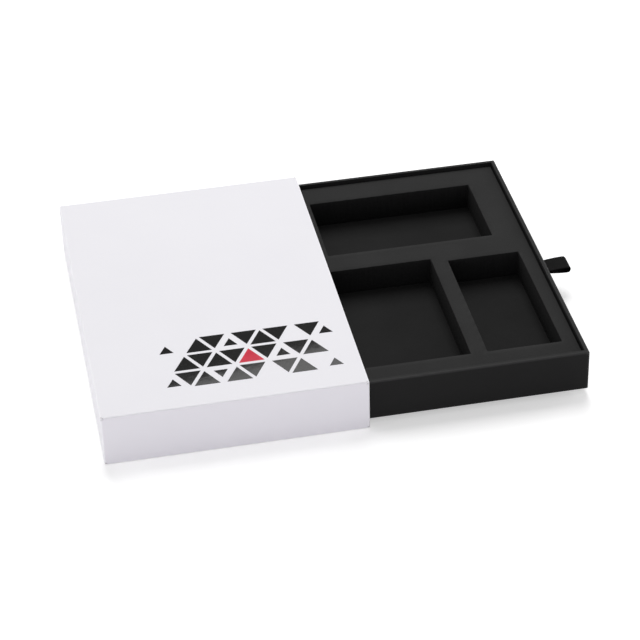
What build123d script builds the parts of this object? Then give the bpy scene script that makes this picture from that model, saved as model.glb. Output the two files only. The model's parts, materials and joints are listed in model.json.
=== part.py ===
from build123d import *
import os

# Magnetic gift box: a black tray with a foam insert slides out of a white rigid sleeve.
# Sizes are in millimetres. The origin is the centre of the sleeve's underside, +X is the way
# the tray is pulled out, +Y is the rear and +Z is up. The tray is drawn out as far as
# engaged_length says, and every size outside the foam follows from what the foam holds.

# Board, paper and tape as bought
sleeve_board = 2.5
tray_board = 2.0
paper = 0.2
tape = 0.1
tape_leg = 10.0
turn_in = 15.0

# Foam insert: one long pocket behind a wide and a narrow one
left_margin = 9.4
wide_pocket_x = 70.0
pocket_web = 10.0
narrow_pocket_x = 44.0
right_margin = 8.6
front_margin = 14.3
wide_pocket_y = 100.0
narrow_pocket_y = 96.0
row_web = 17.7
long_pocket_x = 103.0
long_pocket_y = 60.0
back_margin = 18.8
pocket_corner = 1.0
insert_thickness = 17.0
pad_thickness = 4.0
rim_above_foam = 2.5

# Fits between the parts
foam_gap = 0.6
side_gap = 1.0
slide_gap = 0.15
headroom = 0.45
stop_gap = 0.3
mouth_setback = 0.5
engaged_length = 18.7

# Rounding of the wrapped edges
sleeve_edge = 1.0
tray_edge = 0.8
base_sheet_inset = 2.0

# Closing magnets, one pair each side of the middle
magnet_diameter = 10.0
magnet_thickness = 1.5
magnet_gap = 0.1
magnet_offset = 55.0

# Ribbon pull in the middle of the tray's pull end
ribbon_width = 13.0
ribbon_thickness = 0.35
ribbon_reach = 19.0
ribbon_loop_height = 3.5
ribbon_root_width = 10.0
ribbon_taper = 8.0
ribbon_root_radius = 0.45
ribbon_root_gap = 0.3
slit_margin = 0.5
slit_height = 1.5
tail_length = 8.0
tail_parting = 0.1
patch_margin = 3.0

# Walls, each from its layers: wrap, corner tape, board and inner paper
skin = paper + tape
sleeve_wall = skin + sleeve_board + paper
tray_wall = skin + tray_board + paper

# The foam fills the tray, and the tray fills the sleeve
foam_length = left_margin + wide_pocket_x + pocket_web + narrow_pocket_x + right_margin
foam_depth = front_margin + wide_pocket_y + row_web + long_pocket_y + back_margin
tray_length = foam_length + 2 * (foam_gap + tray_wall)
tray_depth = foam_depth + 2 * (foam_gap + tray_wall)
tray_floor = paper + skin + tray_board
tray_height = tray_floor + paper + pad_thickness + insert_thickness + rim_above_foam
sleeve_length = sleeve_wall + stop_gap + tray_length + mouth_setback
sleeve_depth = tray_depth + 2 * (side_gap + sleeve_wall)
sleeve_floor = paper + skin + sleeve_board
cavity_height = slide_gap + tray_height + headroom
sleeve_height = sleeve_floor + paper + cavity_height + sleeve_wall


def centred(length):
    """The span of a length about the middle."""
    return (-length / 2, length / 2)


def grown(span, by):
    """A span with both ends moved out, or in where by is negative."""
    return (span[0] - by, span[1] + by)


def slab(x, y, z):
    """A block between the low and high values along each axis."""
    corner = Vector(x[0], y[0], z[0])
    size = Vector(x[1], y[1], z[1]) - corner
    return Location(corner + size / 2) * Box(size.X, size.Y, size.Z)


def rounded_slab(x, y, z, radius):
    """A block with every edge rounded."""
    block = slab(x, y, z)
    return fillet(block.edges(), radius)


# Where the sleeve and its cavity lie
sleeve_x = centred(sleeve_length)
sleeve_y = centred(sleeve_depth)
mouth = sleeve_x[1]
beyond_mouth = mouth + sleeve_wall
cavity_x = (sleeve_x[0] + sleeve_wall, mouth)
cavity_y = grown(sleeve_y, -sleeve_wall)
cavity_z = (sleeve_floor + paper, sleeve_height - sleeve_wall)

# Where the tray and its inside lie
tray_x = (mouth - engaged_length, mouth - engaged_length + tray_length)
tray_y = centred(tray_depth)
tray_z = (cavity_z[0] + slide_gap, cavity_z[0] + slide_gap + tray_height)
above_tray = tray_z[1] + tray_wall
inside_x = grown(tray_x, -tray_wall)
inside_y = grown(tray_y, -tray_wall)
inside_floor = tray_z[0] + tray_floor
magnet_z = (tray_z[0] + tray_z[1]) / 2


def sleeve_skin(depth):
    """The sleeve's outside taken in by a depth, its edges rounded to match."""
    z = grown((paper, sleeve_height), -depth)
    return rounded_slab(grown(sleeve_x, -depth), grown(sleeve_y, -depth), z, sleeve_edge - depth)


def tray_skin(depth):
    """The tray's outside taken in by a depth, its edges rounded to match."""
    z = grown((tray_z[0] + paper, tray_z[1]), -depth)
    return rounded_slab(grown(tray_x, -depth), grown(tray_y, -depth), z, tray_edge - depth)


def magnet_disc(face_x, y, into, gap=0.0):
    """A disc let into a face across X, or its pocket when it is given a gap."""
    depth = magnet_thickness + gap / 2
    disc = Cylinder(magnet_diameter / 2 + gap, depth, rotation=(0, 90, 0))
    return Location((face_x + into * depth / 2, y, magnet_z)) * disc


def both_magnets(face_x, into, gap=0.0):
    """The two discs of one end board, or their pockets."""
    return [magnet_disc(face_x, side * magnet_offset, into, gap) for side in (-1, 1)]


def sleeve_boards():
    """The five greyboard panels, with the magnets' pockets in the closed end."""
    hollow_x = (cavity_x[0] - paper, beyond_mouth)
    hollow_y = grown(cavity_y, paper)
    hollow_z = grown(cavity_z, paper)
    carcass = sleeve_skin(skin) - slab(hollow_x, hollow_y, hollow_z)
    wide_x = grown(sleeve_x, sleeve_wall)
    wide_y = grown(sleeve_y, sleeve_wall)
    above = (hollow_z[1], sleeve_height)
    front = (wide_y[0], hollow_y[0])
    rear = (hollow_y[1], wide_y[1])
    end = carcass & slab((wide_x[0], hollow_x[0]), hollow_y, hollow_z)
    return {
        "sleeve_bottom_board": carcass & slab(wide_x, wide_y, (0, hollow_z[0])),
        "sleeve_top_board": carcass & slab(wide_x, wide_y, above),
        "sleeve_front_board": carcass & slab(wide_x, front, hollow_z),
        "sleeve_rear_board": carcass & slab(wide_x, rear, hollow_z),
        "sleeve_end_board": end - both_magnets(hollow_x[0], -1, magnet_gap),
    }


def sleeve_papers():
    """The white wrap turned in at the mouth, the lining behind it and the sheet underneath."""
    turned_x = (mouth - turn_in, mouth)
    lined_y = grown(cavity_y, paper)
    lined_z = grown(cavity_z, paper)
    filled = sleeve_skin(paper) - slab(turned_x, lined_y, lined_z)
    opening = slab((cavity_x[0], beyond_mouth), cavity_y, cavity_z)
    lined_x = (cavity_x[0] - paper, turned_x[0])
    under_x = grown(sleeve_x, -base_sheet_inset)
    under_y = grown(sleeve_y, -base_sheet_inset)
    return {
        "sleeve_wrap": sleeve_skin(0) - filled - opening,
        "sleeve_liner": slab(lined_x, lined_y, lined_z) - opening,
        "sleeve_base_sheet": slab(under_x, under_y, (0, paper)),
    }


def sleeve_tapes():
    """Paper tape folded over the joints between the sleeve's panels, under the wrap."""
    layer = sleeve_skin(paper) - sleeve_skin(skin)
    low_x = (sleeve_x[0], sleeve_x[0] + tape_leg)
    ends_y = ((sleeve_y[0], sleeve_y[0] + tape_leg), (sleeve_y[1] - tape_leg, sleeve_y[1]))
    ends_z = ((0, tape_leg), (sleeve_height - tape_leg, sleeve_height))
    between_y = (ends_y[0][1] + tape, ends_y[1][0] - tape)
    between_z = (ends_z[0][1] + tape, ends_z[1][0] - tape)
    long_x = (sleeve_x[0] - tape, mouth - tape_leg)
    along = [layer & slab(long_x, y, z) for y in ends_y for z in ends_z]
    across = [layer & slab(low_x, between_y, z) for z in ends_z]
    upright = [layer & slab(low_x, y, between_z) for y in ends_y]
    return along + across + upright


def ribbon_slit():
    """The slit for the ribbon, cut right through the tray's pull end."""
    through_x = (inside_x[1] - tray_wall, tray_x[1] + tray_wall)
    slit_y = centred(ribbon_root_width + 2 * slit_margin)
    slit_z = (magnet_z - slit_height / 2, magnet_z + slit_height / 2)
    return slab(through_x, slit_y, slit_z)


def tray_boards():
    """The base and four walls, with magnets' pockets in one end and the slit in the other."""
    hollow_x = grown(inside_x, paper)
    hollow_y = grown(inside_y, paper)
    walls_z = (inside_floor, above_tray)
    carcass = tray_skin(skin) - slab(hollow_x, hollow_y, walls_z)
    wide_x = grown(tray_x, tray_wall)
    wide_y = grown(tray_y, tray_wall)
    inner_end = carcass & slab((wide_x[0], hollow_x[0]), hollow_y, walls_z)
    pull_end = carcass & slab((hollow_x[1], wide_x[1]), hollow_y, walls_z)
    return {
        "tray_base_board": carcass & slab(wide_x, wide_y, (0, inside_floor)),
        "tray_front_board": carcass & slab(wide_x, (wide_y[0], hollow_y[0]), walls_z),
        "tray_rear_board": carcass & slab(wide_x, (hollow_y[1], wide_y[1]), walls_z),
        "tray_inner_end_board": inner_end - both_magnets(tray_x[0] + skin, 1, magnet_gap),
        "tray_pull_end_board": pull_end - ribbon_slit(),
    }


def tray_papers():
    """The black wrap carried over the rim and down inside, the lining and the sheet underneath."""
    inner_z = (inside_floor, above_tray)
    turned = slab(grown(inside_x, paper), grown(inside_y, paper), inner_z)
    filled = tray_skin(paper) - turned
    opening = slab(inside_x, inside_y, inner_z)
    window = slab(grown(tray_x, -turn_in), grown(tray_y, -turn_in), (tray_z[0], inside_floor))
    lined_z = (inside_floor, inside_floor + paper)
    under_x = grown(tray_x, -base_sheet_inset)
    under_y = grown(tray_y, -base_sheet_inset)
    return {
        "tray_wrap": tray_skin(0) - filled - opening - window - ribbon_slit(),
        "tray_liner": slab(inside_x, inside_y, lined_z),
        "tray_base_sheet": slab(under_x, under_y, (tray_z[0], tray_z[0] + paper)),
    }


def tray_tapes():
    """Paper tape folded round each upright corner of the tray's walls, under the wrap."""
    layer = tray_skin(paper) - tray_skin(skin)
    ends_x = ((tray_x[0], tray_x[0] + tape_leg), (tray_x[1] - tape_leg, tray_x[1]))
    ends_y = ((tray_y[0], tray_y[0] + tape_leg), (tray_y[1] - tape_leg, tray_y[1]))
    taped_z = (inside_floor - tray_board / 2, tray_z[1] - skin - tray_edge)
    return [layer & slab(x, y, taped_z) for x in ends_x for y in ends_y]


def foam_parts():
    """The insert, cut right through at each pocket, and the pad that makes the pockets' floors."""
    x = grown(inside_x, -foam_gap)
    y = grown(inside_y, -foam_gap)
    pad_z = (inside_floor + paper, inside_floor + paper + pad_thickness)
    insert_z = (pad_z[1], pad_z[1] + insert_thickness)
    front_y = y[0] + front_margin
    back_y = y[1] - back_margin
    wide_x = (x[0] + left_margin, x[0] + left_margin + wide_pocket_x)
    narrow_x = (x[1] - right_margin - narrow_pocket_x, x[1] - right_margin)
    middle_x = (x[0] + x[1]) / 2
    long_x = (middle_x - long_pocket_x / 2, middle_x + long_pocket_x / 2)
    pockets = (
        (wide_x, (front_y, front_y + wide_pocket_y)),
        (narrow_x, (front_y, front_y + narrow_pocket_y)),
        (long_x, (back_y - long_pocket_y, back_y)),
    )
    insert = slab(x, y, insert_z)
    for pocket_x, pocket_y in pockets:
        cutter = slab(pocket_x, pocket_y, grown(insert_z, pad_thickness / 2))
        insert -= fillet(cutter.edges().filter_by(Axis.Z), pocket_corner)
    return {"foam_insert": insert, "foam_base_pad": slab(x, y, pad_z)}


def ribbon_tails():
    """The ribbon's two ends, through the slit and glued up and down the inside of the wall."""
    end_x = tray_x[1]
    glued_x = (inside_x[1] - ribbon_thickness, inside_x[1])
    width = centred(ribbon_root_width)
    tails = []
    for side in (-1, 1):
        near = magnet_z + side * tail_parting / 2
        bend = near + side * ribbon_thickness
        tip = bend + side * tail_length
        through = slab((glued_x[0], end_x), width, (min(near, bend), max(near, bend)))
        glued = slab(glued_x, width, (min(near, tip), max(near, tip)))
        tails.append(through + glued)
    return tails


def ribbon_patch():
    """The adhesive patch over the ribbon's glued ends."""
    face = inside_x[1] - ribbon_thickness
    half_height = tail_parting / 2 + ribbon_thickness + tail_length + patch_margin / 2
    width = ribbon_root_width + 2 * patch_margin
    return slab((face - tape, face), centred(width), (magnet_z - half_height, magnet_z + half_height))


def ribbon_pull():
    """The loop outside the slit: a flat teardrop from the side, drawn in at its root."""
    root_x = tray_x[1] + ribbon_root_gap + ribbon_root_radius
    tip_radius = ribbon_loop_height / 2
    tip_x = tray_x[1] + ribbon_reach - tip_radius
    side_view = Plane.XZ

    def teardrop(inset):
        root = Location((root_x, magnet_z)) * Circle(ribbon_root_radius - inset)
        tip = Location((tip_x, magnet_z)) * Circle(tip_radius - inset)
        return make_hull(root.edges() + tip.edges())

    band = side_view * (teardrop(0) - teardrop(ribbon_thickness))
    loop = extrude(band, ribbon_width / 2, both=True)
    half_root = ribbon_root_width / 2
    half_width = ribbon_width / 2
    start_x = tray_x[1]
    full_x = start_x + ribbon_taper
    far_x = start_x + ribbon_reach + ribbon_width
    with BuildSketch() as outline:
        with BuildLine():
            near_side = TangentArc((full_x, half_width), (start_x, half_root), tangent=(-1, 0))
            Line(near_side @ 0, (far_x, half_width))
            Line((far_x, half_width), (far_x, -half_width))
            Line((far_x, -half_width), (full_x, -half_width))
            far_side = TangentArc((full_x, -half_width), (start_x, -half_root), tangent=(-1, 0))
            Line(far_side @ 1, near_side @ 1)
        make_face()
    cutter = extrude(outline.sketch, sleeve_height)
    return loop & cutter


def every_node():
    """Every node of the box by name, each a solid or a list of solids."""
    nodes = {}
    nodes.update(sleeve_boards())
    nodes.update(sleeve_papers())
    nodes["sleeve_corner_tapes"] = sleeve_tapes()
    nodes["sleeve_magnets"] = both_magnets(cavity_x[0] - paper, -1)
    nodes.update(tray_boards())
    nodes.update(tray_papers())
    nodes["tray_corner_tapes"] = tray_tapes()
    nodes["tray_magnets"] = both_magnets(tray_x[0] + skin, 1)
    nodes.update(foam_parts())
    nodes["ribbon_tails"] = ribbon_tails()
    nodes["ribbon_patch"] = ribbon_patch()
    nodes["ribbon_pull"] = ribbon_pull()
    return nodes


def write_nodes():
    """One STEP file for each node."""
    os.makedirs("parts", exist_ok=True)
    for name, shape in every_node().items():
        solids = shape if isinstance(shape, list) else [shape]
        pieces = [solid for piece in solids for solid in piece.solids()]
        export_step(Compound(pieces) if len(pieces) > 1 else pieces[0], f"parts/{name}.step")


write_nodes()
print("sleeve", round(sleeve_length, 2), round(sleeve_depth, 2), round(sleeve_height, 2))
print("tray", round(tray_length, 2), round(tray_depth, 2), round(tray_height, 2))
print("tray from", [round(v, 3) for v in (tray_x[0], tray_y[0], tray_z[0])])
print("ribbon root", round(tray_x[1] + ribbon_root_gap + ribbon_root_radius, 3), round(magnet_z, 3))
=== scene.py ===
import json
import math

import bmesh
import bpy
from mathutils import Matrix, Vector, noise


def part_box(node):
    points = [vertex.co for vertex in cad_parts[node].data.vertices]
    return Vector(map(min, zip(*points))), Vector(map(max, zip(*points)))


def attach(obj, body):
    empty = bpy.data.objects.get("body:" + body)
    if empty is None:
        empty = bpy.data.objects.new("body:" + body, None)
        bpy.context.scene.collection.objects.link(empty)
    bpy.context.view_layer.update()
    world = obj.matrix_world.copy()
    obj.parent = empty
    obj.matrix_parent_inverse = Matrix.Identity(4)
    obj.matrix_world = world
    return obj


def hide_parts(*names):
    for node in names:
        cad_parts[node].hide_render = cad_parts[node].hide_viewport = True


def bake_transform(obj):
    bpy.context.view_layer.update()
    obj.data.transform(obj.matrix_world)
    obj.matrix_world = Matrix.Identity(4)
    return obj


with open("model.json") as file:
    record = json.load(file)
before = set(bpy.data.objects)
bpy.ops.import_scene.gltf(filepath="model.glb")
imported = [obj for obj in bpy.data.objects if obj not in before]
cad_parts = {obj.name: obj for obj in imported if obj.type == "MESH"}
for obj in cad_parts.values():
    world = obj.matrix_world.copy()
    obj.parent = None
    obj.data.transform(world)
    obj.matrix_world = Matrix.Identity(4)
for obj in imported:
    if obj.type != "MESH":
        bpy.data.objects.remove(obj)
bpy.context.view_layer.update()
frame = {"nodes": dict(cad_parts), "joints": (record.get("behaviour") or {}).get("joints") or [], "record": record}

MM = 0.001


def grey(value):
    """A neutral colour in linear light, as all the colours here are."""
    return (value, value, value)


# Camera, solved from the sleeve's corners in the photograph's 640 by 640 frame
CAMERA_AZIMUTH = math.radians(-10.08)
CAMERA_ELEVATION = math.radians(35.21)
CAMERA_ROLL = math.radians(-1.73)
CAMERA_DISTANCE = 1384.4 * MM
CAMERA_OFFSET = (67.5 * MM, 8.3 * MM)
CAMERA_LENS = 129.0
CAMERA_SENSOR = 36.0
CAMERA_CLIP = (0.05, 50.0)

# Sizes taken from the frame
sleeve_low, sleeve_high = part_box("sleeve_wrap")
tray_low, tray_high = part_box("tray_wrap")
foam_low, foam_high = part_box("foam_insert")
pad_low, pad_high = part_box("foam_base_pad")
loop_low, loop_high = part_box("ribbon_pull")
tails_low, tails_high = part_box("ribbon_tails")
hinge = next(joint for joint in frame["joints"] if joint["name"] == "ribbon_swing")
root = Vector(hinge["pos_m"])
openings = {entry["name"]: entry["box_m"] for entry in frame["record"]["physics"]["openings"]}

# Noise: the values that most of it lies between, and a closer pair for more contrast
NOISE_SPAN = (0.3, 0.7)
NOISE_CORE = (0.35, 0.65)

# Each paper's colours, roughness, specular level and depth of fibres
WHITE_PAPER = {
    "pale": (0.885, 0.876, 0.912),
    "shaded": (0.865, 0.855, 0.893),
    # edges: lighter partly from rubbing and partly as a painted highlight
    "rubbed": (0.908, 0.900, 0.930),
    "worn": (0.42, 0.41, 0.42),
    "rough": 0.62,
    "specular": 0.25,
    "relief": 0.015 * MM,
}
BLACK_PAPER = {
    "pale": grey(0.0085),
    "shaded": grey(0.0055),
    # edges: lighter partly from rubbing and partly as a painted highlight
    "rubbed": grey(0.034),
    "worn": grey(0.05),
    "rough": 0.6,
    "specular": 0.11,
    "relief": 0.03 * MM,
}

# Both papers' clouding, flecks and fibres, and how many times as deep as its fibres a sheet's waves are
PAPER_CLOUD = 45 * MM
PAPER_CLOUD_SHARE = 0.6
PAPER_FLECK = 0.9 * MM
PAPER_FLECK_SHARE = 0.4
PAPER_FIBRE = 0.7 * MM
PAPER_FIBRE_STRETCH = 0.25
PAPER_ROUGH_SPREAD = 0.06
PAPER_WAVE_DEPTH = 12

# Rubbed edges, lighter partly from wear and partly as a painted highlight, and worn corners: from where to where
# each fades out, and how patchy each is
EDGE_RUB_AND_HIGHLIGHT = (0.3 * MM, 1.3 * MM)
RUB_AND_HIGHLIGHT_FLECKS = (0.3, 0.5)
RUB_AND_HIGHLIGHT_SHARE = (0.8, 1.0)
CORNER_WEAR = (0.5 * MM, 2.2 * MM)
WEAR_SPOT = 0.9 * MM
WEAR_SPOTS = (0.46, 0.56)
FADE_OUT = (1.0, 0.0)

# Greyboard
BOARD_TONES = ((0.20, 0.18, 0.16), (0.44, 0.41, 0.37))
BOARD_CLOUD_TONE = (0.36, 0.33, 0.30)
BOARD_FLECK = 1.2 * MM
BOARD_CLOUD = 9 * MM
BOARD_ROUGHNESS = (0.85, 0.98)
BOARD_RELIEF = 0.08 * MM

# Kraft paper tape
TAPE_TONES = ((0.36, 0.24, 0.14), (0.52, 0.38, 0.24))
TAPE_FIBRE = 1.0 * MM
TAPE_FIBRE_STRETCH = 0.2
TAPE_ROUGHNESS = (0.6, 0.8)
TAPE_RELIEF = 0.03 * MM

# Nickel plate on the magnets
NICKEL_TONES = ((0.62, 0.60, 0.56), (0.74, 0.72, 0.68))
NICKEL_MARK = 0.5 * MM
NICKEL_ROUGHNESS = (0.14, 0.28)

# Foam's surface: skin where a face looks up or down by more than the tilt, open cells where it is cut
FOAM_SKIN = (grey(0.019), grey(0.030))
# The pad's skin is darker than the insert's: painted shade for the pocket floors, where it shows
PAD_SKIN_PAINTED_SHADE = (grey(0.0108), grey(0.018))
FOAM_CUT = (grey(0.006), grey(0.0085))
FOAM_SKIN_TILT = (0.35, 0.8)
FOAM_CELL = 0.6 * MM
FOAM_CELL_WALL = (0.0, 0.4)
FOAM_CELL_RELIEF = 0.04 * MM
FOAM_GRAIN = 1.1 * MM
FOAM_GRAIN_SHARE = 0.55
FOAM_GRAIN_RELIEF = 0.06 * MM
FOAM_CLOUD = 30 * MM
FOAM_CLOUD_SHARE = 0.45
FOAM_STROKE = 1.5 * MM
FOAM_STROKE_STRETCH = 0.12
FOAM_STROKE_RELIEF = 0.03 * MM
FOAM_ROUGHNESS = (0.84, 0.98)
FOAM_SPECULAR = 0.12

# Foam's shape: how far inside a pocket's walls its opening lies, the furthest that grid lines are
# apart, the rounding of its edges, and how far and in what patches its surface wanders
OPENING_MARGIN = 0.3 * MM
FOAM_GRID = 4.0 * MM
FOAM_EDGE = 0.45 * MM
FOAM_EDGE_SEGMENTS = 3
FOAM_EDGE_ANGLE = math.radians(40.0)
FOAM_WANDER = 0.06 * MM
INSERT_PATCH = 22 * MM
PAD_PATCH = 30 * MM

# Ribbon's shape
RIBBON_THICKNESS = 0.35 * MM
RIBBON_ROOT_WIDTH = 10.0 * MM
RIBBON_WIDENING = 7.0 * MM
RIBBON_TIP_ROUNDING = 2.6 * MM
RIBBON_TIP_DRAW = 0.6
RIBBON_LAYER_GAP = 0.06 * MM
RIBBON_BEND = 1.0 * MM
RIBBON_BEND_STEPS = 6
RIBBON_LOOP_STEPS = 14
RIBBON_LOOP_RISE = 1.4
RIBBON_TIP_STEPS = 14
RIBBON_STRANDS = 16

# Ribbon's satin. Its darker sides fade in between two shares of the way from its middle to its side.
SATIN_TONES = (grey(0.003), grey(0.007))
SATIN_EDGE_TONE = grey(0.001)
SATIN_EDGE = (0.80, 0.92)
SATIN_RIB = 1.4 * MM
SATIN_RIB_WANDER = 0.6
SATIN_RIB_RELIEF = 0.04 * MM
SATIN_THREAD = 0.5 * MM
SATIN_THREAD_STRETCH = 0.15
SATIN_THREAD_RELIEF = 0.05 * MM
SATIN_ROUGHNESS = (0.55, 0.7)
SATIN_SPECULAR = 0.03

# Mosaic on the sleeve's lid. Its rows go from rear to front, with b for a black triangle, s for a
# small black one and r for a red one. The corner is its front left one.
PRINT_CORNER = (-41.0 * MM, -95.5 * MM)
PRINT_SIDE = 18.6 * MM
PRINT_GAP = 1.1 * MM
PRINT_THICKNESS = 0.05 * MM
PRINT_SMALL = 0.55
PRINT_ROWS = (
    "s.bbsbbb.bs",
    ".bbbbrbsbb.",
    "sbbsbb.bb.s",
)
BLACK_INK = (grey(0.004), grey(0.006))
RED_INK = ((0.62, 0.035, 0.065), (0.68, 0.045, 0.08))
INK_FILM = 4.0 * MM
INK_SPECK = 0.6 * MM
INK_ROUGHNESS = (0.03, 0.05)
INK_RELIEF = 0.004 * MM
INK_SPECULAR = 0.08

# Floor, with a glow that lifts it to white, more so further away, in metres
FLOOR_TONES = (grey(0.83), grey(0.85))
FLOOR_GRAIN = 60 * MM
FLOOR_ROUGHNESS = 0.9
FLOOR_REACH = 6.0
FLOOR_GLOW = (0.45, 1.0)
FLOOR_GLOW_REACH = (0.4, 1.6)

# Light: what the surround gives, how bright it looks, and lamps in metres and degrees, with azimuth 0
# behind the box and 90 to its right. A white surface that faces a lamp takes its share of full white
# from it.
AMBIENT = 0.23
SURROUND = 1.0
WHITE = grey(1.0)
LILAC = (1.0, 0.965, 1.03)
LAMPS_AIM = Vector((0.06, 0, 0))
LAMPS = {
    "rear_lamp": dict(azimuth=8, elevation=57.6, distance=4.5, size=(2.0, 3.26), share=0.72, roll=14),
    "right_lamp": dict(azimuth=80, elevation=14, distance=1.8, size=(1.4, 0.8), share=0.40),
    "left_lamp": dict(azimuth=-85, elevation=10, distance=1.8, size=(1.4, 0.6), share=0.31),
    "front_lamp": dict(azimuth=-170, elevation=7, distance=1.8, size=(1.6, 0.4), share=0.32, colour=LILAC),
}

# Points of a mesh that lie closer than this are one point
WELD = 0.0001 * MM

# The sockets that Blender's mix node has for colours
MIX_SHARE = 0
MIX_COLOURS = (6, 7)
MIX_RESULT = 2


def new_mesh(name, verts, faces):
    """A mesh object from points and faces, in the row frame."""
    mesh = bpy.data.meshes.new(name)
    mesh.from_pydata([tuple(v) for v in verts], [], faces)
    mesh.update()
    piece = bpy.data.objects.new(name, mesh)
    bpy.context.scene.collection.objects.link(piece)
    return piece


def shade_smooth(piece):
    """Shades every face of a piece smooth."""
    for polygon in piece.data.polygons:
        polygon.use_smooth = True


def face_outwards(piece):
    """Turns every face of a closed mesh outwards."""
    work = bmesh.new()
    work.from_mesh(piece.data)
    bmesh.ops.remove_doubles(work, verts=work.verts, dist=WELD)
    bmesh.ops.recalc_face_normals(work, faces=work.faces)
    work.to_mesh(piece.data)
    work.free()


def round_edges(piece):
    """Rounds the sharp edges of a foam piece, and keeps the rounded shape as its mesh."""
    bevel = piece.modifiers.new("rounding", "BEVEL")
    bevel.width = FOAM_EDGE
    bevel.segments = FOAM_EDGE_SEGMENTS
    bevel.limit_method = "ANGLE"
    bevel.angle_limit = FOAM_EDGE_ANGLE
    bevel.harden_normals = True
    depsgraph = bpy.context.evaluated_depsgraph_get()
    piece.data = bpy.data.meshes.new_from_object(piece.evaluated_get(depsgraph))
    piece.modifiers.clear()
    shade_smooth(piece)


class Shader:
    """A material's node tree, with short calls for the nodes that this scene uses."""

    def __init__(self, name):
        self.material = bpy.data.materials.new(name)
        self.material.use_nodes = True
        self.tree = self.material.node_tree
        self.surface = self.tree.nodes["Principled BSDF"]
        place = self.add("ShaderNodeTexCoord")
        self.place = place.outputs["Object"]
        self.facing = place.outputs["Normal"]

    def add(self, kind, **settings):
        """A new node with its settings."""
        node = self.tree.nodes.new(kind)
        for name, value in settings.items():
            setattr(node, name, value)
        return node

    def join(self, source, target):
        """A link from an output to an input."""
        self.tree.links.new(source, target)

    def stretched(self, scale):
        """Object coordinates multiplied along each axis."""
        mapping = self.add("ShaderNodeMapping")
        mapping.inputs["Scale"].default_value = scale
        self.join(self.place, mapping.inputs["Vector"])
        return mapping.outputs["Vector"]

    def axis(self, vector, letter):
        """One axis of a vector."""
        node = self.add("ShaderNodeSeparateXYZ")
        self.join(vector, node.inputs["Vector"])
        return node.outputs[letter]

    def calc(self, operation, first, second=0.0):
        """A sum on two values, each a number or an output."""
        node = self.add("ShaderNodeMath", operation=operation)
        for socket, value in zip(node.inputs, (first, second)):
            if isinstance(value, (int, float)):
                socket.default_value = value
            else:
                self.join(value, socket)
        return node.outputs["Value"]

    def depths(self, low, high):
        """How deep a point lies below the faces of a box, along X, Y and Z."""
        found = []
        for letter, start, end in zip("XYZ", low, high):
            off = self.calc("SUBTRACT", self.axis(self.place, letter), (start + end) / 2)
            found.append(self.calc("SUBTRACT", (end - start) / 2, self.calc("ABSOLUTE", off)))
        return found

    def from_edge(self, low, high):
        """Distance from the nearest edge of a box."""
        x, y, z = self.depths(low, high)
        nearest = self.calc("MINIMUM", self.calc("MAXIMUM", x, y), self.calc("MAXIMUM", y, z))
        return self.calc("MINIMUM", nearest, self.calc("MAXIMUM", x, z))

    def from_corner(self, low, high):
        """Distance from the nearest corner of a box."""
        x, y, z = self.depths(low, high)
        return self.calc("MAXIMUM", self.calc("MAXIMUM", x, y), z)

    def noise(self, size, detail=3.0, rough=0.5, vector=None):
        """Noise whose patches are about a size in metres."""
        node = self.add("ShaderNodeTexNoise")
        node.inputs["Scale"].default_value = 1.0 / size
        node.inputs["Detail"].default_value = detail
        node.inputs["Roughness"].default_value = rough
        self.join(vector or self.place, node.inputs["Vector"])
        return node.outputs["Fac"]

    def cells(self, size):
        """Distance to the nearest of a scatter of points, as foam's cells have."""
        node = self.add("ShaderNodeTexVoronoi")
        node.inputs["Scale"].default_value = 1.0 / size
        self.join(self.place, node.inputs["Vector"])
        return node.outputs["Distance"]

    def ramp(self, value, span, out=(0.0, 1.0)):
        """A value carried from one span to another, and held at its ends."""
        node = self.add("ShaderNodeMapRange")
        for name, number in zip(("From Min", "From Max", "To Min", "To Max"), (*span, *out)):
            node.inputs[name].default_value = number
        self.join(value, node.inputs["Value"])
        return node.outputs["Result"]

    def mix(self, share, first, second):
        """Two colours mixed by a share."""
        node = self.add("ShaderNodeMix", data_type="RGBA")
        self.join(share, node.inputs[MIX_SHARE])
        for index, value in zip(MIX_COLOURS, (first, second)):
            if isinstance(value, tuple):
                node.inputs[index].default_value = (*value, 1.0)
            else:
                self.join(value, node.inputs[index])
        return node.outputs[MIX_RESULT]

    def bump(self, height, depth, under=None):
        """Relief of a depth in metres, over another relief if one is given."""
        node = self.add("ShaderNodeBump")
        node.inputs["Distance"].default_value = depth
        self.join(height, node.inputs["Height"])
        if under is not None:
            self.join(under, node.inputs["Normal"])
        return node.outputs["Normal"]

    def colour(self, socket):
        """The surface's colour from an output."""
        self.join(socket, self.surface.inputs["Base Color"])

    def roughness(self, socket):
        """The surface's roughness from an output."""
        self.join(socket, self.surface.inputs["Roughness"])

    def normal(self, socket):
        """The surface's relief from an output."""
        self.join(socket, self.surface.inputs["Normal"])

    def specular(self, level):
        """The surface's specular level, the same all over."""
        self.surface.inputs["Specular IOR Level"].default_value = level


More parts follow.
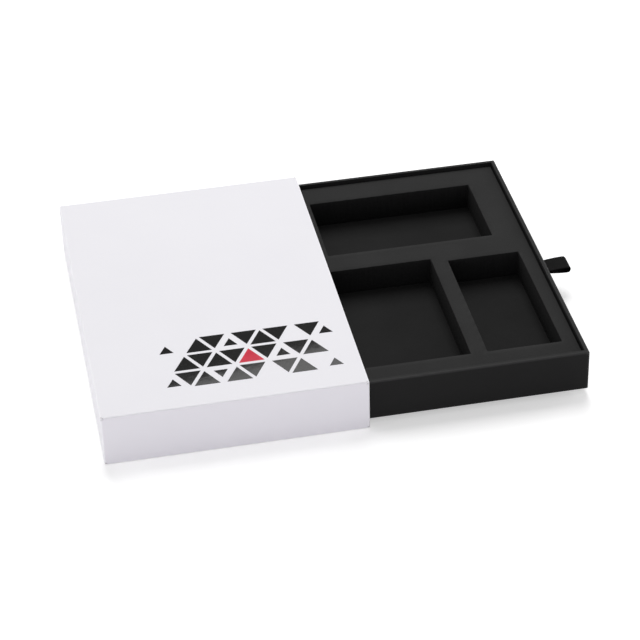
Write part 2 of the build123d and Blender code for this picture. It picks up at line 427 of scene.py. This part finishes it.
def paper_material(name, low, high, pale, shaded, rubbed, worn, rough, specular, relief):
    """Uncoated paper: faint clouding, fibres both ways, its box's edges lighter partly from rubbing and partly as
    a painted highlight, and its worn corners.
    """
    shader = Shader(name)
    along = shader.stretched((PAPER_FIBRE_STRETCH, 1.0, 1.0))
    across = shader.stretched((1.0, PAPER_FIBRE_STRETCH, 1.0))
    clouds = shader.noise(PAPER_CLOUD, detail=2.0)
    flecks = shader.noise(PAPER_FLECK, detail=4.0, rough=0.6)
    fibres = shader.noise(PAPER_FIBRE, detail=2.0, vector=along)
    cross_fibres = shader.noise(PAPER_FIBRE, detail=2.0, vector=across)
    clouding = shader.ramp(clouds, NOISE_SPAN, (0.0, PAPER_CLOUD_SHARE))
    flecking = shader.ramp(flecks, NOISE_CORE, (0.0, PAPER_FLECK_SHARE))
    sheet = shader.mix(shader.calc("ADD", clouding, flecking), shaded, pale)
    # Rubbed edges: lighter partly from wear and partly as a painted highlight along the rounded edges
    edge = shader.ramp(shader.from_edge(low, high), EDGE_RUB_AND_HIGHLIGHT, FADE_OUT)
    rub_and_highlight = shader.calc("MULTIPLY", edge, shader.ramp(flecks, RUB_AND_HIGHLIGHT_FLECKS, RUB_AND_HIGHLIGHT_SHARE))
    corner = shader.ramp(shader.from_corner(low, high), CORNER_WEAR, FADE_OUT)
    spots = shader.ramp(shader.noise(WEAR_SPOT, detail=2.0), WEAR_SPOTS)
    wear = shader.calc("MULTIPLY", corner, spots)
    shader.colour(shader.mix(wear, shader.mix(rub_and_highlight, sheet, rubbed), worn))
    spread = (rough - PAPER_ROUGH_SPREAD, rough + PAPER_ROUGH_SPREAD)
    shader.roughness(shader.ramp(flecks, NOISE_SPAN, spread))
    tooth = shader.bump(shader.calc("ADD", fibres, cross_fibres), relief)
    shader.normal(shader.bump(clouds, PAPER_WAVE_DEPTH * relief, under=tooth))
    shader.specular(specular)
    return shader.material


def board_material():
    """Greyboard: grey-brown pulp with darker and lighter flecks."""
    shader = Shader("greyboard_pulp")
    flecks = shader.noise(BOARD_FLECK, detail=5.0, rough=0.7)
    clouds = shader.noise(BOARD_CLOUD)
    pulp = shader.mix(shader.ramp(flecks, NOISE_CORE), *BOARD_TONES)
    shader.colour(shader.mix(shader.ramp(clouds, NOISE_SPAN), pulp, BOARD_CLOUD_TONE))
    shader.roughness(shader.ramp(flecks, NOISE_SPAN, BOARD_ROUGHNESS))
    shader.normal(shader.bump(flecks, BOARD_RELIEF))
    return shader.material


def tape_material():
    """Kraft paper tape, with its fibres along it."""
    shader = Shader("kraft_paper")
    along = shader.stretched((TAPE_FIBRE_STRETCH, 1.0, 1.0))
    fibres = shader.noise(TAPE_FIBRE, detail=4.0, vector=along)
    shader.colour(shader.mix(shader.ramp(fibres, NOISE_SPAN), *TAPE_TONES))
    shader.roughness(shader.ramp(fibres, NOISE_SPAN, TAPE_ROUGHNESS))
    shader.normal(shader.bump(fibres, TAPE_RELIEF))
    return shader.material


def magnet_material():
    """Nickel plate with fine tumbling marks."""
    shader = Shader("nickel_coat")
    marks = shader.noise(NICKEL_MARK, detail=4.0)
    shader.colour(shader.mix(shader.ramp(marks, NOISE_SPAN), *NICKEL_TONES))
    shader.roughness(shader.ramp(marks, NOISE_SPAN, NICKEL_ROUGHNESS))
    shader.surface.inputs["Metallic"].default_value = 1.0
    return shader.material


def foam_material(name, skin_tones):
    """Closed-cell foam: a clouded skin above and below, darker open cells where it is cut."""
    shader = Shader(name)
    cells = shader.cells(FOAM_CELL)
    grain = shader.noise(FOAM_GRAIN, detail=4.0, rough=0.65)
    clouds = shader.noise(FOAM_CLOUD)
    upright = shader.stretched((1.0, 1.0, FOAM_STROKE_STRETCH))
    strokes = shader.noise(FOAM_STROKE, detail=2.0, vector=upright)
    graining = shader.ramp(grain, NOISE_SPAN, (0.0, FOAM_GRAIN_SHARE))
    clouding = shader.ramp(clouds, NOISE_SPAN, (0.0, FOAM_CLOUD_SHARE))
    skin = shader.mix(shader.calc("ADD", graining, clouding), *skin_tones)
    cut = shader.mix(shader.ramp(strokes, NOISE_SPAN), *FOAM_CUT)
    upward = shader.calc("ABSOLUTE", shader.axis(shader.facing, "Z"))
    shader.colour(shader.mix(shader.ramp(upward, FOAM_SKIN_TILT), cut, skin))
    shader.roughness(shader.ramp(grain, NOISE_SPAN, FOAM_ROUGHNESS))
    pits = shader.bump(shader.ramp(cells, FOAM_CELL_WALL), FOAM_CELL_RELIEF)
    lined = shader.bump(strokes, FOAM_STROKE_RELIEF, under=pits)
    shader.normal(shader.bump(grain, FOAM_GRAIN_RELIEF, under=lined))
    shader.specular(FOAM_SPECULAR)
    return shader.material


def satin_material():
    """Black satin: fine ribs across the ribbon, and darker along each side."""
    shader = Shader("black_satin_weave")
    ribs = shader.add("ShaderNodeTexWave", wave_type="BANDS", bands_direction="X")
    ribs.inputs["Scale"].default_value = 1.0 / SATIN_RIB
    ribs.inputs["Distortion"].default_value = SATIN_RIB_WANDER
    shader.join(shader.place, ribs.inputs["Vector"])
    along = shader.stretched((SATIN_THREAD_STRETCH, 1.0, 1.0))
    threads = shader.noise(SATIN_THREAD, detail=2.0, vector=along)
    across = shader.add("ShaderNodeAttribute", attribute_name="across").outputs["Fac"]
    middle = shader.mix(shader.ramp(threads, NOISE_SPAN), *SATIN_TONES)
    shader.colour(shader.mix(shader.ramp(across, SATIN_EDGE), middle, SATIN_EDGE_TONE))
    shader.roughness(shader.ramp(threads, NOISE_SPAN, SATIN_ROUGHNESS))
    ribbed = shader.bump(ribs.outputs["Fac"], SATIN_RIB_RELIEF)
    shader.normal(shader.bump(threads, SATIN_THREAD_RELIEF, under=ribbed))
    shader.specular(SATIN_SPECULAR)
    return shader.material


def ink_material(name, tones):
    """Raised gloss ink: an even film with a faint orange peel."""
    shader = Shader(name)
    film = shader.noise(INK_FILM, detail=1.0)
    specks = shader.noise(INK_SPECK)
    shader.colour(shader.mix(shader.ramp(film, NOISE_SPAN), *tones))
    shader.roughness(shader.ramp(specks, NOISE_SPAN, INK_ROUGHNESS))
    shader.normal(shader.bump(film, INK_RELIEF))
    shader.specular(INK_SPECULAR)
    return shader.material


def seen_ray(tree):
    """1 for the rays that show the background: the camera's, and those off gloss or through glass."""
    path = tree.nodes.new("ShaderNodeLightPath")
    value = path.outputs["Is Camera Ray"]
    for other in ("Is Glossy Ray", "Is Transmission Ray"):
        either = tree.nodes.new("ShaderNodeMath")
        either.operation = "MAXIMUM"
        tree.links.new(value, either.inputs[0])
        tree.links.new(path.outputs[other], either.inputs[1])
        value = either.outputs["Value"]
    return value


def floor_material():
    """A pale floor that reads as white and still takes the box's shadow."""
    shader = Shader("pale_floor")
    shader.colour(shader.mix(shader.noise(FLOOR_GRAIN), *FLOOR_TONES))
    shader.surface.inputs["Roughness"].default_value = FLOOR_ROUGHNESS
    shader.specular(0.0)
    away = shader.add("ShaderNodeVectorMath", operation="LENGTH")
    shader.join(shader.place, away.inputs[0])
    lift = shader.ramp(away.outputs["Value"], FLOOR_GLOW_REACH, FLOOR_GLOW)
    glow = shader.add("ShaderNodeEmission")
    strength = shader.calc("MULTIPLY", seen_ray(shader.tree), lift)
    shader.join(strength, glow.inputs["Strength"])
    both = shader.add("ShaderNodeAddShader")
    shader.join(shader.surface.outputs["BSDF"], both.inputs[0])
    shader.join(glow.outputs["Emission"], both.inputs[1])
    shader.join(both.outputs["Shader"], shader.tree.nodes["Material Output"].inputs["Surface"])
    return shader.material


def dress(names, material):
    """Gives CAD nodes a material."""
    for name in names:
        slots = frame["nodes"][name].data.materials
        slots.clear()
        slots.append(material)


def finish_piece(piece, body, material, slot_name, *replaced):
    """Gives a piece its material and its body, and hides the nodes it stands for. Its slot name is not used."""
    piece.data.materials.clear()
    piece.data.materials.append(material)
    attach(piece, body)
    if replaced:
        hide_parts(*replaced)


def grid_lines(low, high, stops):
    """Grid lines from low to high that include every stop, no further apart than the foam's grid."""
    fixed = sorted({low, high, *stops})
    lines = [fixed[0]]
    for start, end in zip(fixed, fixed[1:]):
        count = max(1, math.ceil((end - start) / FOAM_GRID))
        lines += [start + (end - start) * (i + 1) / count for i in range(count)]
    return lines


def pocket_spans():
    """The three pockets' spans along X and Y, wall to wall."""
    spans = []
    for name in ("wide_pocket", "narrow_pocket", "long_pocket"):
        low, high = openings[name]
        x = (low[0] - OPENING_MARGIN, high[0] + OPENING_MARGIN)
        y = (low[1] - OPENING_MARGIN, high[1] + OPENING_MARGIN)
        spans.append((x, y))
    return spans


def foam_plate(name, low, high, holes):
    """A closed plate on a grid, with square holes cut right through and its edges rounded."""
    xs = grid_lines(low[0], high[0], [v for x, _ in holes for v in x])
    ys = grid_lines(low[1], high[1], [v for _, y in holes for v in y])
    zs = grid_lines(low[2], high[2], [])
    top = len(zs) - 1
    verts = []
    index = {}
    faces = []

    def solid(i, j):
        if not (0 <= i < len(xs) - 1 and 0 <= j < len(ys) - 1):
            return False
        x = (xs[i] + xs[i + 1]) / 2
        y = (ys[j] + ys[j + 1]) / 2
        return not any(a[0] < x < a[1] and b[0] < y < b[1] for a, b in holes)

    def point(i, j, k):
        key = (i, j, k)
        if key not in index:
            index[key] = len(verts)
            verts.append((xs[i], ys[j], zs[k]))
        return index[key]

    def square(*corners):
        faces.append([point(*corner) for corner in corners])

    for i in range(len(xs) - 1):
        for j in range(len(ys) - 1):
            if not solid(i, j):
                continue
            for k in (0, top):
                square((i, j, k), (i + 1, j, k), (i + 1, j + 1, k), (i, j + 1, k))
            sides = (
                ((i - 1, j), (i, j), (i, j + 1)),
                ((i + 1, j), (i + 1, j), (i + 1, j + 1)),
                ((i, j - 1), (i, j), (i + 1, j)),
                ((i, j + 1), (i, j + 1), (i + 1, j + 1)),
            )
            for k in range(top):
                for neighbour, start, end in sides:
                    if not solid(*neighbour):
                        square((*start, k), (*end, k), (*end, k + 1), (*start, k + 1))
    plate = new_mesh(name, verts, faces)
    face_outwards(plate)
    round_edges(plate)
    return plate


def soften(piece, size):
    """Lets a soft piece's surface wander in a little, in patches of a size."""
    mesh = piece.data
    normals = [vertex.normal.copy() for vertex in mesh.vertices]
    for vertex, normal in zip(mesh.vertices, normals):
        shift = noise.noise(vertex.co / size)
        vertex.co -= normal * FOAM_WANDER * (0.5 + 0.5 * shift)
    mesh.update()


def make_foam(foam, pad_foam_painted_shade):
    """The insert with its three pockets, and the pad under it, whose darker skin is painted shade on the pocket
    floors.
    """
    insert = foam_plate("foam_block", foam_low, foam_high, pocket_spans())
    soften(insert, INSERT_PATCH)
    finish_piece(insert, "tray", foam, "black_foam", "foam_insert")
    # The pad takes the darker skin, which is painted shade on the pocket floors
    floor_pad = foam_plate("foam_floor_pad", pad_low, pad_high, [])
    soften(floor_pad, PAD_PATCH)
    finish_piece(floor_pad, "tray", pad_foam_painted_shade, "black_foam", "foam_base_pad")


def ribbon_line():
    """The ribbon's middle line seen from the side, from one glued end round the loop to the other."""
    half = RIBBON_THICKNESS / 2
    inner_x = tails_low[0] + half
    wall_x = tails_high[0]
    part = RIBBON_LAYER_GAP + half
    middle = root.z
    tip_radius = (loop_high[2] - loop_low[2]) / 2 - half
    tip_x = loop_high[0] - half - tip_radius

    def spot(x, z):
        return Vector((x, 0, z))

    upper = [spot(inner_x, tails_high[2]), spot(inner_x, middle + part + RIBBON_BEND)]
    for step in range(1, RIBBON_BEND_STEPS + 1):
        angle = math.radians(90 * step / RIBBON_BEND_STEPS)
        x = inner_x + RIBBON_BEND * (1 - math.cos(angle))
        upper.append(spot(x, middle + part + RIBBON_BEND * (1 - math.sin(angle))))
    upper.append(spot(wall_x, middle + part))
    for step in range(1, RIBBON_LOOP_STEPS + 1):
        share = step / RIBBON_LOOP_STEPS
        rise = (tip_radius - part) * math.sin(share * math.pi / 2) ** RIBBON_LOOP_RISE
        upper.append(spot(root.x + (tip_x - root.x) * share, middle + part + rise))
    tip = []
    for step in range(1, RIBBON_TIP_STEPS):
        angle = math.radians(90 - 180 * step / RIBBON_TIP_STEPS)
        x = tip_x + tip_radius * math.cos(angle)
        tip.append(spot(x, middle + tip_radius * math.sin(angle)))
    lower = [spot(p.x, 2 * middle - p.z) for p in reversed(upper)]
    return upper + tip + lower


def ribbon_half_width(x):
    """Half the ribbon's width: drawn in at the slit, full further out, rounded off at the fold."""
    full = loop_high[1]
    narrow = RIBBON_ROOT_WIDTH / 2
    share = min(1.0, max(0.0, (x - tails_high[0]) / RIBBON_WIDENING))
    half = narrow + (full - narrow) * math.sin(share * math.pi / 2)
    into_fold = max(0.0, x - (loop_high[0] - RIBBON_TIP_ROUNDING)) / RIBBON_TIP_ROUNDING
    drawn_in = 1 - math.sqrt(max(0.0, 1 - into_fold ** 2))
    return half - RIBBON_TIP_ROUNDING * RIBBON_TIP_DRAW * drawn_in


def make_ribbon(satin):
    """One strip of satin, glued inside the wall, out through the slit and round its loop."""
    line = ribbon_line()
    count = len(line)
    row = RIBBON_STRANDS + 1
    verts = []
    across = []
    for side in (1, -1):
        for i, point in enumerate(line):
            along = (line[min(i + 1, count - 1)] - line[max(i - 1, 0)]).normalized()
            out = Vector((-along.z, 0, along.x)) * (side * RIBBON_THICKNESS / 2)
            half = ribbon_half_width(point.x)
            for j in range(row):
                share = 2 * j / RIBBON_STRANDS - 1
                verts.append(point + out + Vector((0, share * half, 0)))
                across.append(abs(share))
    layer = count * row

    def at(side, i, j):
        return side * layer + i * row + j

    faces = []
    for i in range(count - 1):
        for j in range(RIBBON_STRANDS):
            faces.append([at(0, i, j), at(0, i, j + 1), at(0, i + 1, j + 1), at(0, i + 1, j)])
            faces.append([at(1, i, j), at(1, i + 1, j), at(1, i + 1, j + 1), at(1, i, j + 1)])
        for j in (0, RIBBON_STRANDS):
            faces.append([at(0, i, j), at(0, i + 1, j), at(1, i + 1, j), at(1, i, j)])
    for i in (0, count - 1):
        for j in range(RIBBON_STRANDS):
            faces.append([at(0, i, j), at(0, i, j + 1), at(1, i, j + 1), at(1, i, j)])
    ribbon = new_mesh("satin_ribbon", verts, faces)
    shade_smooth(ribbon)
    ribbon.data.attributes.new("across", "FLOAT", "POINT").data.foreach_set("value", across)
    face_outwards(ribbon)
    ribbon.data.materials.append(satin)
    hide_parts("ribbon_pull", "ribbon_tails")
    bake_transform(ribbon)


def print_triangle(name, column, row, scale, material):
    """One raised triangle of the print's mosaic, pointing up or down by turns."""
    height = PRINT_SIDE * math.sqrt(3) / 2
    inner_radius = PRINT_SIDE / (2 * math.sqrt(3))
    left = PRINT_CORNER[0] + column * PRINT_SIDE / 2
    base = PRINT_CORNER[1] + row * height
    apex = base + height
    if (column + row) % 2:
        base, apex = apex, base
    plan = ((left, base), (left + PRINT_SIDE, base), (left + PRINT_SIDE / 2, apex))
    corners = [Vector((x, y, 0)) for x, y in plan]
    centre = sum(corners, Vector()) / 3
    shrink = scale * (1 - PRINT_GAP / inner_radius)
    verts = []
    for z in (sleeve_high[2], sleeve_high[2] + PRINT_THICKNESS):
        verts += [centre + (corner - centre) * shrink + Vector((0, 0, z)) for corner in corners]
    faces = [[2, 1, 0], [3, 4, 5], [0, 1, 4, 3], [1, 2, 5, 4], [2, 0, 3, 5]]
    piece = new_mesh(name, verts, faces)
    face_outwards(piece)
    finish_piece(piece, "sleeve", material, "white_paper")


def make_print(black, red):
    """A plain mosaic of raised triangles on the sleeve's lid."""
    kinds = {"b": (black, 1.0), "s": (black, PRINT_SMALL), "r": (red, 1.0)}
    for row, letters in enumerate(reversed(PRINT_ROWS)):
        for column, letter in enumerate(letters):
            if letter in kinds:
                ink, scale = kinds[letter]
                print_triangle(f"print_{row}_{column}", column, row, scale, ink)


def make_floor(material):
    """A floor that runs out of sight."""
    signs = ((-1, -1), (1, -1), (1, 1), (-1, 1))
    corners = [(x * FLOOR_REACH, y * FLOOR_REACH, 0) for x, y in signs]
    floor = new_mesh("floor", corners, [[0, 1, 2, 3]])
    floor.data.materials.append(material)


def soft_lamp(name, azimuth, elevation, distance, size, share, roll=0, colour=WHITE):
    """A soft rectangular lamp that is aimed at the box."""
    lamp = bpy.data.lights.new(name, "AREA")
    lamp.shape = "RECTANGLE"
    lamp.size, lamp.size_y = size
    lamp.energy = share * (math.pi * distance) ** 2
    lamp.color = colour
    holder = bpy.data.objects.new(name, lamp)
    bpy.context.scene.collection.objects.link(holder)
    turn = math.radians(azimuth)
    rise = math.radians(elevation)
    level = math.cos(rise)
    towards = Vector((math.sin(turn) * level, math.cos(turn) * level, math.sin(rise)))
    holder.location = LAMPS_AIM + towards * distance
    facing = (-towards).to_track_quat("-Z", "Y").to_matrix()
    rolled = facing @ Matrix.Rotation(math.radians(roll), 3, "Z")
    holder.rotation_euler = rolled.to_euler()


def make_lights():
    """A pale surround, a large lamp above and behind, and weaker ones at the sides and in front."""
    world = bpy.data.worlds.new("surround")
    bpy.context.scene.world = world
    world.use_nodes = True
    tree = world.node_tree
    tree.nodes.clear()
    output = tree.nodes.new("ShaderNodeOutputWorld")
    choose = tree.nodes.new("ShaderNodeMixShader")
    tree.links.new(seen_ray(tree), choose.inputs["Fac"])
    for socket, strength in ((1, AMBIENT), (2, SURROUND)):
        light = tree.nodes.new("ShaderNodeBackground")
        light.inputs["Color"].default_value = (*WHITE, 1.0)
        light.inputs["Strength"].default_value = strength
        tree.links.new(light.outputs["Background"], choose.inputs[socket])
    tree.links.new(choose.outputs["Shader"], output.inputs["Surface"])
    for name, lamp in LAMPS.items():
        soft_lamp(name, **lamp)


def make_camera():
    """The camera at the photograph's viewing angle."""
    level = math.cos(CAMERA_ELEVATION)
    back_x = math.sin(CAMERA_AZIMUTH) * level
    back_y = -math.cos(CAMERA_AZIMUTH) * level
    back = Vector((back_x, back_y, math.sin(CAMERA_ELEVATION)))
    sideways = Vector((math.cos(CAMERA_AZIMUTH), math.sin(CAMERA_AZIMUTH), 0))
    upright = back.cross(sideways)
    right = sideways * math.cos(CAMERA_ROLL) + upright * math.sin(CAMERA_ROLL)
    up = upright * math.cos(CAMERA_ROLL) - sideways * math.sin(CAMERA_ROLL)
    place = right * CAMERA_OFFSET[0] + up * CAMERA_OFFSET[1] + back * CAMERA_DISTANCE
    camera = bpy.data.cameras.new("camera")
    camera.lens = CAMERA_LENS
    camera.sensor_width = CAMERA_SENSOR
    camera.sensor_height = CAMERA_SENSOR
    camera.sensor_fit = "HORIZONTAL"
    camera.clip_start, camera.clip_end = CAMERA_CLIP
    holder = bpy.data.objects.new("camera", camera)
    bpy.context.scene.collection.objects.link(holder)
    turn = Matrix((right, up, back)).transposed()
    holder.matrix_world = Matrix.Translation(place) @ turn.to_4x4()
    bpy.context.scene.camera = holder


make_camera()
make_lights()
make_floor(floor_material())

white_paper = paper_material("white_wrap_paper", sleeve_low, sleeve_high, **WHITE_PAPER)
black_paper = paper_material("black_wrap_paper", tray_low, tray_high, **BLACK_PAPER)
boards = [name for name in frame["nodes"] if name.endswith("_board")]
dress(boards, board_material())
dress(["sleeve_corner_tapes", "tray_corner_tapes"], tape_material())
dress(["sleeve_magnets", "tray_magnets"], magnet_material())
dress(["sleeve_wrap", "sleeve_liner", "sleeve_base_sheet"], white_paper)
dress(["tray_wrap", "tray_liner", "tray_base_sheet", "ribbon_patch"], black_paper)

make_foam(foam_material("foam_skin", FOAM_SKIN), foam_material("foam_pad_skin", PAD_SKIN_PAINTED_SHADE))
make_ribbon(satin_material())
make_print(ink_material("gloss_black_ink", BLACK_INK), ink_material("gloss_red_ink", RED_INK))

bpy.context.scene.view_settings.view_transform = "Standard"
